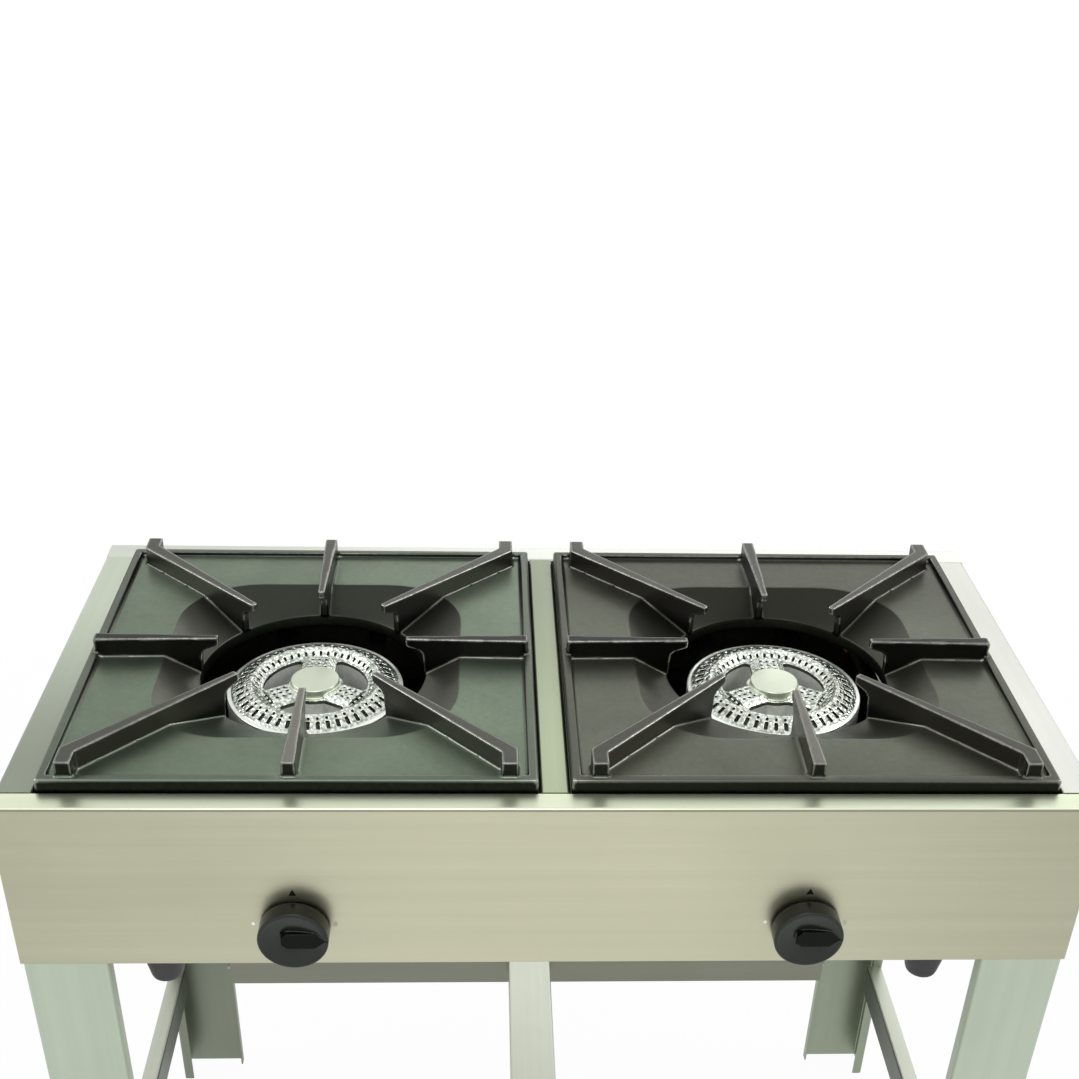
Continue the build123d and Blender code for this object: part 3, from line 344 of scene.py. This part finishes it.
def cast(name, colour, rough):
    """Sand casting: fine grain, a broad mottle, and edges rubbed darker."""
    m, t, b = material(name)
    p = t.place()
    sand = t.noise(p, 900.0, 3.0, 0.6)
    lump = t.noise(p, 140.0, 4.0, 0.55)
    cloud = t.noise(p, 9.0, 4.0, 0.5)
    base = t.mix(t.ramp(lump, 0.3, 0.7), scaled(colour, 0.82), scaled(colour, 1.15))
    base = t.mix(t.times(cloud, 0.5), base, scaled(colour, 1.25))
    base = t.mix(t.times(t.edges(0.53, 0.62), 0.3), base, (0.2, 0.2, 0.19))
    r = t.plus(t.times(lump, 0.14), rough - 0.1)
    r = t.plus(r, t.times(cloud, 0.08))
    relief = t.bump(lump, 0.36, 0.0006, t.bump(sand, 0.3, 0.0003))
    t.feed(b, {"Base Color": base, "Roughness": r, "Metallic": 0.25, "Normal": relief})
    return m


# The knob as the photograph shows it, on the CAD's axis.
KNOB_R = 0.0328
KNOB_LONG = 0.0175
# Grip bar of the CAD knob: half its width, and where it starts to narrow, its point and its back.
BAR_HALF = 0.0085
BAR_STRAIGHT = 0.019
BAR_TIP = 0.0285
BAR_BACK = 0.0107
BAR_TIP_HALF = 0.0008


def knob_black(name, side):
    """Semi-gloss moulding; its skirt and the grip bar in its dished face are darker as painted
    shade.
    """
    m, t, b = material(name)
    p = t.place()
    low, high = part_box(f"{side}_knob")
    cx, cz = (low[0] + high[0]) / 2, (low[2] + high[2]) / 2
    grow = 2 * KNOB_R / (high[0] - low[0])
    grit = t.noise(p, 1500.0, 2.0, 0.5)
    cloud = t.noise(p, 30.0, 4.0, 0.6)

    sep = t.add("SeparateXYZ", {0: p})
    off = t.math("ABSOLUTE", t.minus(sep.outputs["Z"], cz))
    half = t.span(sep.outputs["X"], cx + BAR_STRAIGHT * grow, cx + BAR_TIP * grow,
                  BAR_HALF * grow, BAR_TIP_HALF)
    across = t.span(t.minus(half, off), -0.0004, 0.0006)
    behind = cx - BAR_BACK * grow
    along = t.above("X", behind - 0.0008, behind + 0.0004)
    # Painted shade on the grip bar's front face.
    bar = t.times(t.times(across, along), t.facing(FORWARD, -0.5, -0.2))

    base = t.mix(t.ramp(cloud, 0.35, 0.7), (0.012, 0.017, 0.011), (0.021, 0.028, 0.020))
    # Painted shade on the skirt, the faces that don't look forward.
    base = t.mix(t.facing(FORWARD, 0.5, 0.1), base, (0.006, 0.007, 0.005))
    base = t.mix(bar, base, (0.006, 0.008, 0.006))
    base = t.mix(t.times(t.edges(0.53, 0.60), 0.3), base, (0.09, 0.095, 0.09))
    r = t.plus(t.times(cloud, 0.12), 0.20)
    t.feed(b, {"Base Color": base, "Roughness": r, "Metallic": t.times(bar, 0.85),
               "Normal": t.bump(grit, 0.06, FINE_RELIEF), "Specular IOR Level": 0.36})
    return m


def moulded(name, colour, rough):
    """Moulded plastic with a faint texture and small scuffs."""
    m, t, b = material(name)
    p = t.place()
    grit = t.noise(p, 1500.0, 2.0, 0.5)
    cloud = t.noise(p, 30.0, 4.0, 0.6)
    base = t.mix(t.ramp(cloud, 0.35, 0.7), scaled(colour, 0.85), scaled(colour, 1.2))
    base = t.mix(t.times(t.edges(0.53, 0.62), 0.25), base, scaled(colour, 3.0))
    r = t.plus(t.times(cloud, 0.14), rough - 0.07)
    t.feed(b, {"Base Color": base, "Roughness": r, "Normal": t.bump(grit, 0.08, FINE_RELIEF)})
    return m


def machined(name, colour, rough):
    """Turned or drawn metal with a fine texture and stains."""
    m, t, b = material(name)
    p = t.place()
    fine = t.noise(p, 600.0, 3.0, 0.6)
    cloud = t.noise(p, 25.0, 4.0, 0.6)
    base = t.mix(t.ramp(cloud, 0.3, 0.75), scaled(colour, 1.05), scaled(colour, 0.7))
    r = t.plus(t.times(cloud, 0.2), rough - 0.1)
    t.feed(b, {"Base Color": base, "Roughness": r, "Metallic": 1.0,
               "Normal": t.bump(fine, 0.1, FINE_RELIEF)})
    return m


def print_ink(name, colour, rough, metallic=0.0):
    """Printed or etched mark, a little worn."""
    m, t, b = material(name)
    cloud = t.noise(t.place(), 900.0, 3.0, 0.6)
    base = t.mix(cloud, scaled(colour, 0.8), scaled(colour, 1.3))
    t.feed(b, {"Base Color": base, "Roughness": t.plus(rough, t.times(cloud, 0.1)),
               "Metallic": metallic, "Specular IOR Level": 0.15})
    return m


# One stainless steel: these colours differ from part to part as painted light and shade, and the
# ledge colours are painted reflections.
PANEL = (0.525, 0.52, 0.385)
FRONT_LEDGE = (0.73, 0.78, 0.59)
REAR_LEDGE = (0.65, 0.67, 0.61)
REAR_RAIL_LEDGE = (0.40, 0.42, 0.33)
PALE = (0.57, 0.60, 0.515)
# Painted shade on the inner faces of the side rails.
RAIL_SHADE = (0.10, 0.115, 0.09)
MILL = (0.42, 0.43, 0.38)
LEG = (0.50, 0.57, 0.465)
# Painted shade on the legs' inner faces.
LEG_INSIDE_SHADE = (0.20, 0.225, 0.175)
# How much lighter than the darkest each leg's painted inside shade is.
LEG_LIGHTER = {"front_left": 1.9, "front_right": 1.9, "rear_left": 1.05, "rear_right": 1.45}

# The ledges' near and distant colours are painted reflections; the rear rail's darker colour is
# painted shade.
M = {
    "front": brushed("stainless_front", PANEL, "x", 0.30, glow=0.13,
                     ledge=(FRONT_LEDGE, FRONT_LEDGE)),
    "rear": brushed("stainless_rear", PANEL, "x", 0.32, ledge=(REAR_LEDGE, REAR_LEDGE)),
    "left": brushed("stainless_left", PANEL, "y", 0.32,
                    ledge=((0.28, 0.31, 0.25), (0.56, 0.62, 0.51))),
    "right": brushed("stainless_right", PANEL, "y", 0.32,
                     ledge=((0.68, 0.69, 0.645), (0.54, 0.55, 0.50))),
    "centre": brushed("stainless_centre", PANEL, "y", 0.32,
                      ledge=((0.42, 0.48, 0.33), (0.26, 0.29, 0.21))),
    "rail_x": brushed("stainless_rails_x", PALE, "x", 0.36),
    "rear_rail": brushed("stainless_rear_rail", (0.22, 0.23, 0.18), "x", 0.36,
                         ledge=(REAR_RAIL_LEDGE, REAR_RAIL_LEDGE)),
    "beam": brushed("stainless_beam", PALE, "y", 0.36),
    "left_rail": brushed("stainless_left_rail", PALE, "y", 0.36, RAIL_SHADE, [(1, 0, 0)]),
    "right_rail": brushed("stainless_right_rail", PALE, "y", 0.36, RAIL_SHADE, [(-1, 0, 0)]),
    "inner_x": brushed("inner_sheet_x", (0.42, 0.43, 0.40), "x", 0.42),
    "pan": shaded_sheet("pan_sheet", MILL),
    "support": shaded_sheet("support_sheet", MILL),
    # The two grates' colours differ as painted light: the left one's lighter, greener sheen and the
    # right one's dimmer back stand for how light falls on them.
    "left_grate": grate_iron(
        "grate_iron_left", "left", plate=(0.165, 0.21, 0.152), dish=(0.120, 0.125, 0.102),
        rib=(0.092, 0.091, 0.078), dark=(0.010, 0.011, 0.008)),
    "right_grate": grate_iron(
        "grate_iron_right", "right", plate=(0.122, 0.130, 0.098), dish=(0.085, 0.088, 0.068),
        rib=(0.078, 0.077, 0.066), dark=(0.012, 0.013, 0.010), back=0.66),
    "left_head": silvery("burner_casting_left", "left"),
    "right_head": silvery("burner_casting_right", "right"),
    "base": cast("base_casting", (0.84, 0.86, 0.80), 0.42),
    "left_knob": knob_black("knob_black_left", "left"),
    "right_knob": knob_black("knob_black_right", "right"),
    "foot": moulded("foot_black", (0.022, 0.022, 0.022), 0.5),
    "fastener": machined("fastener_steel", (0.40, 0.41, 0.38), 0.4),
    "brass": machined("brass_turned", (0.72, 0.52, 0.22), 0.34),
    "pipe": machined("pipe_steel", (0.14, 0.14, 0.135), 0.42),
    "stem": machined("stem_steel", (0.58, 0.58, 0.56), 0.28),
}

# Which material each CAD node wears.
WEAR = {
    "front_panel": "front", "rear_panel": "rear", "centre_rail": "centre",
    "left_side_panel": "left", "right_side_panel": "right", "bottom_pan": "pan",
    "body_feet": "foot", "leg_nuts": "fastener", "rail_bolts": "fastener",
    "beam_bolts": "fastener", "left_rail": "left_rail", "right_rail": "right_rail",
    "front_rail": "rail_x", "rear_rail": "rear_rail", "centre_beam": "beam",
    "gas_manifold": "pipe", "manifold_cap": "pipe", "pipe_straps": "inner_x",
    "gas_inlet": "brass", "inlet_nut": "brass",
}
for side, inward_x in (("left", 1), ("right", -1)):
    for end, inward_y in (("front", 1), ("rear", -1)):
        key = f"{end}_{side}_leg"
        WEAR[key] = key
        # Painted shade on each leg's inner faces, darkest on the rear left leg.
        leg_shade = scaled(LEG_INSIDE_SHADE, LEG_LIGHTER[f"{end}_{side}"])
        M[key] = brushed(f"stainless_{key}", LEG, "z", 0.38, leg_shade,
                         [(inward_x, 0, 0), (0, inward_y, 0)])
    WEAR.update({
        f"{side}_grate": f"{side}_grate", f"{side}_burner_head": f"{side}_head",
        f"{side}_burner_base": "base", f"{side}_burner_supports": "support",
        f"{side}_injector": "brass", f"{side}_tap_body": "brass", f"{side}_feed_tube": "pipe",
        f"{side}_thrust_collar": "brass", f"{side}_valve_stem": "stem",
        f"{side}_knob": f"{side}_knob",
    })
for name, ob in nodes.items():
    m = M[WEAR[name]]
    for s in ob.material_slots:
        s.material = m
    if not ob.material_slots:
        ob.data.materials.append(m)


# ---------- pieces that stand for CAD nodes ----------

BODY_OF = {n: b for b, ns in frame["record"]["behaviour"]["bodies"].items() for n in ns}


def piece(name, mesh, body, mat):
    ob = bpy.data.objects.new(name, mesh)
    scene.collection.objects.link(ob)
    mesh.materials.clear()
    mesh.materials.append(mat)
    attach(ob, body)
    return ob


def rounded(node, voxel, smooth, keep, shaped=None):
    """The node again as a casting or moulding, with every edge rounded.
    shaped is a matrix that resizes it first."""
    name = node + "_rounded"
    ob = bpy.data.objects.new(name, nodes[node].data.copy())
    if shaped:
        ob.data.transform(shaped)
    scene.collection.objects.link(ob)
    grid = ob.modifiers.new("grid", "REMESH")
    grid.mode = "VOXEL"
    grid.voxel_size = voxel
    soft = ob.modifiers.new("soft", "SMOOTH")
    soft.factor = 0.5
    soft.iterations = smooth
    fewer = ob.modifiers.new("fewer", "DECIMATE")
    fewer.ratio = keep
    evaluated = ob.evaluated_get(bpy.context.evaluated_depsgraph_get())
    mesh = bpy.data.meshes.new_from_object(evaluated)
    bpy.data.objects.remove(ob)
    mesh.name = name
    mesh.shade_smooth()
    ob = piece(name, mesh, BODY_OF[node], M[WEAR[node]])
    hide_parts(node)
    print(name, len(mesh.polygons), "faces")


for side in ("left", "right"):
    rounded(f"{side}_grate", 0.0013, 4, 0.35)
    rounded(f"{side}_burner_head", 0.0006, 3, 0.45)
    low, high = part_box(f"{side}_knob")
    back = Vector(((low[0] + high[0]) / 2, high[1], (low[2] + high[2]) / 2))
    wider = KNOB_R / ((high[0] - low[0]) / 2)
    shorter = KNOB_LONG / (high[1] - low[1])
    about = (Matrix.Translation(back) @ Matrix.Diagonal((wider, shorter, wider, 1))
             @ Matrix.Translation(-back))
    rounded(f"{side}_knob", 0.0005, 3, 0.5, about)


# ---------- marks on the front panel ----------

MARK_PROUD = 0.00015
MARK_THICK = 0.0002


def panel_mark(name, corners, mat):
    """A thin printed mark on the front panel, from outline points in X and Z."""
    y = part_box("front_panel")[0][1]
    bm = bmesh.new()
    front = [bm.verts.new((x, y - MARK_PROUD, z)) for x, z in corners]
    face = bm.faces.new(front)
    back = bmesh.ops.extrude_face_region(bm, geom=[face])
    bmesh.ops.translate(bm, verts=[v for v in back["geom"] if isinstance(v, bmesh.types.BMVert)],
                        vec=(0, MARK_THICK, 0))
    bmesh.ops.recalc_face_normals(bm, faces=bm.faces)
    mesh = bpy.data.meshes.new(name)
    bm.to_mesh(mesh)
    bm.free()
    piece(name, mesh, "body", mat)


# Outlines of size 1, counted from the middle of a mark.
TRIANGLE = ((-0.5, -0.45), (0.5, -0.45), (0, 0.55))
DROP = [(math.sin(a) * 0.32 * (1 if abs(a) < 2.6 else 0.6), -math.cos(a) * 0.42)
        for a in [k * math.tau / 20 for k in range(-10, 10)]]
# Name, place to the right of and above the knob's axis, outline, size and material.
MARKS = (
    ("top", 0.0, 0.0410, TRIANGLE, 0.0072,
     print_ink("ink_black", (0.003, 0.003, 0.002), 0.6)),
    ("low", -0.0385, 0.004, DROP, 0.0050,
     print_ink("etched_bright", (0.90, 0.91, 0.85), 0.3, 1.0)),
    ("high", 0.0375, 0.003, DROP, 0.0070,
     print_ink("etched_grey", (0.43, 0.44, 0.36), 0.4, 1.0)),
)
for side in ("left", "right"):
    low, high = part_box(f"{side}_knob")
    cx, cz = (low[0] + high[0]) / 2, (low[2] + high[2]) / 2
    for name, right, up, shape, size, mat in MARKS:
        corners = [(cx + right + x * size, cz + up + z * size) for x, z in shape]
        panel_mark(f"{side}_mark_{name}", corners, mat)


# ---------- stage, light and camera ----------

def seen_directly(t):
    """1 where the camera, or metal or glass, looks at the background."""
    path = t.add("LightPath")
    seen = t.larger(path.outputs["Is Camera Ray"], path.outputs["Is Glossy Ray"])
    return t.larger(seen, path.outputs["Is Transmission Ray"])


bpy.ops.mesh.primitive_grid_add(x_subdivisions=8, y_subdivisions=8, size=24,
                                location=(0, 0, -0.0005))
floor = bpy.context.object
floor.name = "floor"
pale = bpy.data.materials.new("floor_pale")
t = Tree(pale)
paper = t.add("BsdfDiffuse", {"Color": (0.84, 0.84, 0.84)})
glow = t.add("Emission", {"Color": (1, 1, 1), "Strength": 1.0})
# The floor shows its shadow near the range and is white farther out.
far = t.add("VectorMath", {0: t.add("TexCoord").outputs["Object"]}, operation="LENGTH")
white = t.times(seen_directly(t), t.span(far.outputs["Value"], 0.6, 2.2, 0.97, 1.0))
both = t.add("MixShader", {0: white, 1: paper.outputs[0], 2: glow.outputs[0]})
t.add("OutputMaterial", {"Surface": both.outputs[0]})
floor.data.materials.append(pale)

WORLD_LEVEL = 0.45
world = bpy.data.worlds.new("studio")
scene.world = world
t = Tree(world)
level = t.plus(t.times(seen_directly(t), 1 - WORLD_LEVEL), WORLD_LEVEL)
sky = t.add("Background", {"Color": (1, 1, 1), "Strength": level})
t.add("OutputWorld", {"Surface": sky.outputs[0]})


def lamp(name, place, target, size, power):
    d = bpy.data.lights.new(name, "AREA")
    d.shape = "RECTANGLE"
    d.size, d.size_y = size
    d.energy = power
    ob = bpy.data.objects.new(name, d)
    scene.collection.objects.link(ob)
    ob.location = place
    ob.rotation_euler = (Vector(target) - Vector(place)).to_track_quat("-Z", "Y").to_euler()
    ob.visible_camera = False


lamp("key", (-0.2, -1.1, 2.7), (0, 0, 0.8), (1.2, 0.7), 11)
lamp("left", (-2.0, 0.2, 2.1), (0, 0, 0.8), (0.6, 1.2), 13)
lamp("right", (2.0, 0.2, 2.1), (0, 0, 0.8), (0.6, 1.2), 15)
lamp("rear", (1.0, 3.0, 2.25), (0.2, 0, 0.8), (3.0, 0.6), 8)

# The camera fitted to the photograph: its place, and how far it is turned to the right, looks
# down and rolls, in degrees.
CAMERA_AT = (-0.06466, -1.2824, 1.6365)
CAMERA_RIGHT, CAMERA_DOWN, CAMERA_ROLL = 3.03, 32.37, 1.85
cam = bpy.data.cameras.new("camera")
cam.lens = 48.45
cam.sensor_width = 36.0
cam.sensor_fit = "HORIZONTAL"
cam.shift_x = -0.00894
cam.shift_y = 0.1333
cam.clip_start = 0.05
cam.clip_end = 60
eye = bpy.data.objects.new("camera", cam)
scene.collection.objects.link(eye)
eye.matrix_world = (Matrix.Translation(CAMERA_AT)
                    @ Matrix.Rotation(math.radians(-CAMERA_RIGHT), 4, "Z")
                    @ Matrix.Rotation(math.radians(90 - CAMERA_DOWN), 4, "X")
                    @ Matrix.Rotation(math.radians(CAMERA_ROLL), 4, "Z"))
scene.camera = eye
scene.view_settings.view_transform = "Standard"
